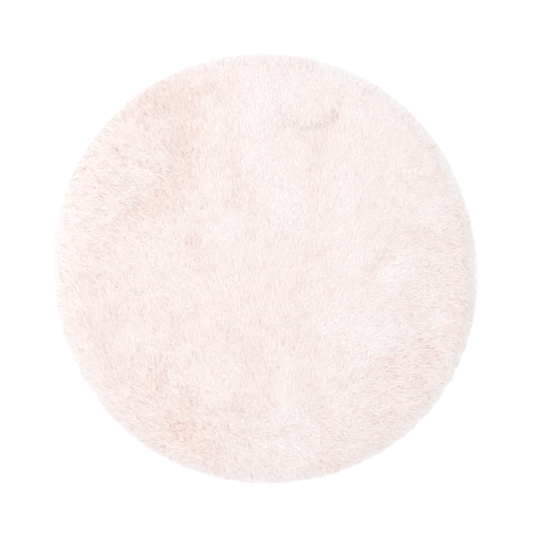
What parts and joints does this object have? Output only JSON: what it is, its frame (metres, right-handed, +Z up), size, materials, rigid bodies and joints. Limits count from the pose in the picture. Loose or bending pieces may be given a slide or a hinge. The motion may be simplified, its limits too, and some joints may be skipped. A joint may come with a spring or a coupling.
{
  "type": "round shag rug",
  "caption": "Round long-pile shag rug in pale blush, lying flat, with a lumpy combed pile and loose locks round its rim.",
  "frame": {"origin": "middle of the rug's underside, on the floor it lies on", "axes": "+Z up out of the pile; +Y is the side of the rug with the combed crest, +X to the right of it seen from above"},
  "size_m": [1.1954, 1.206, 0.0432],
  "materials": {
    "pile": "matt long polyester pile, pale blush pink with paler tips"
  },
  "bodies": {
    "root": {"shag_pile": "pile"}
  },
  "joints": []
}
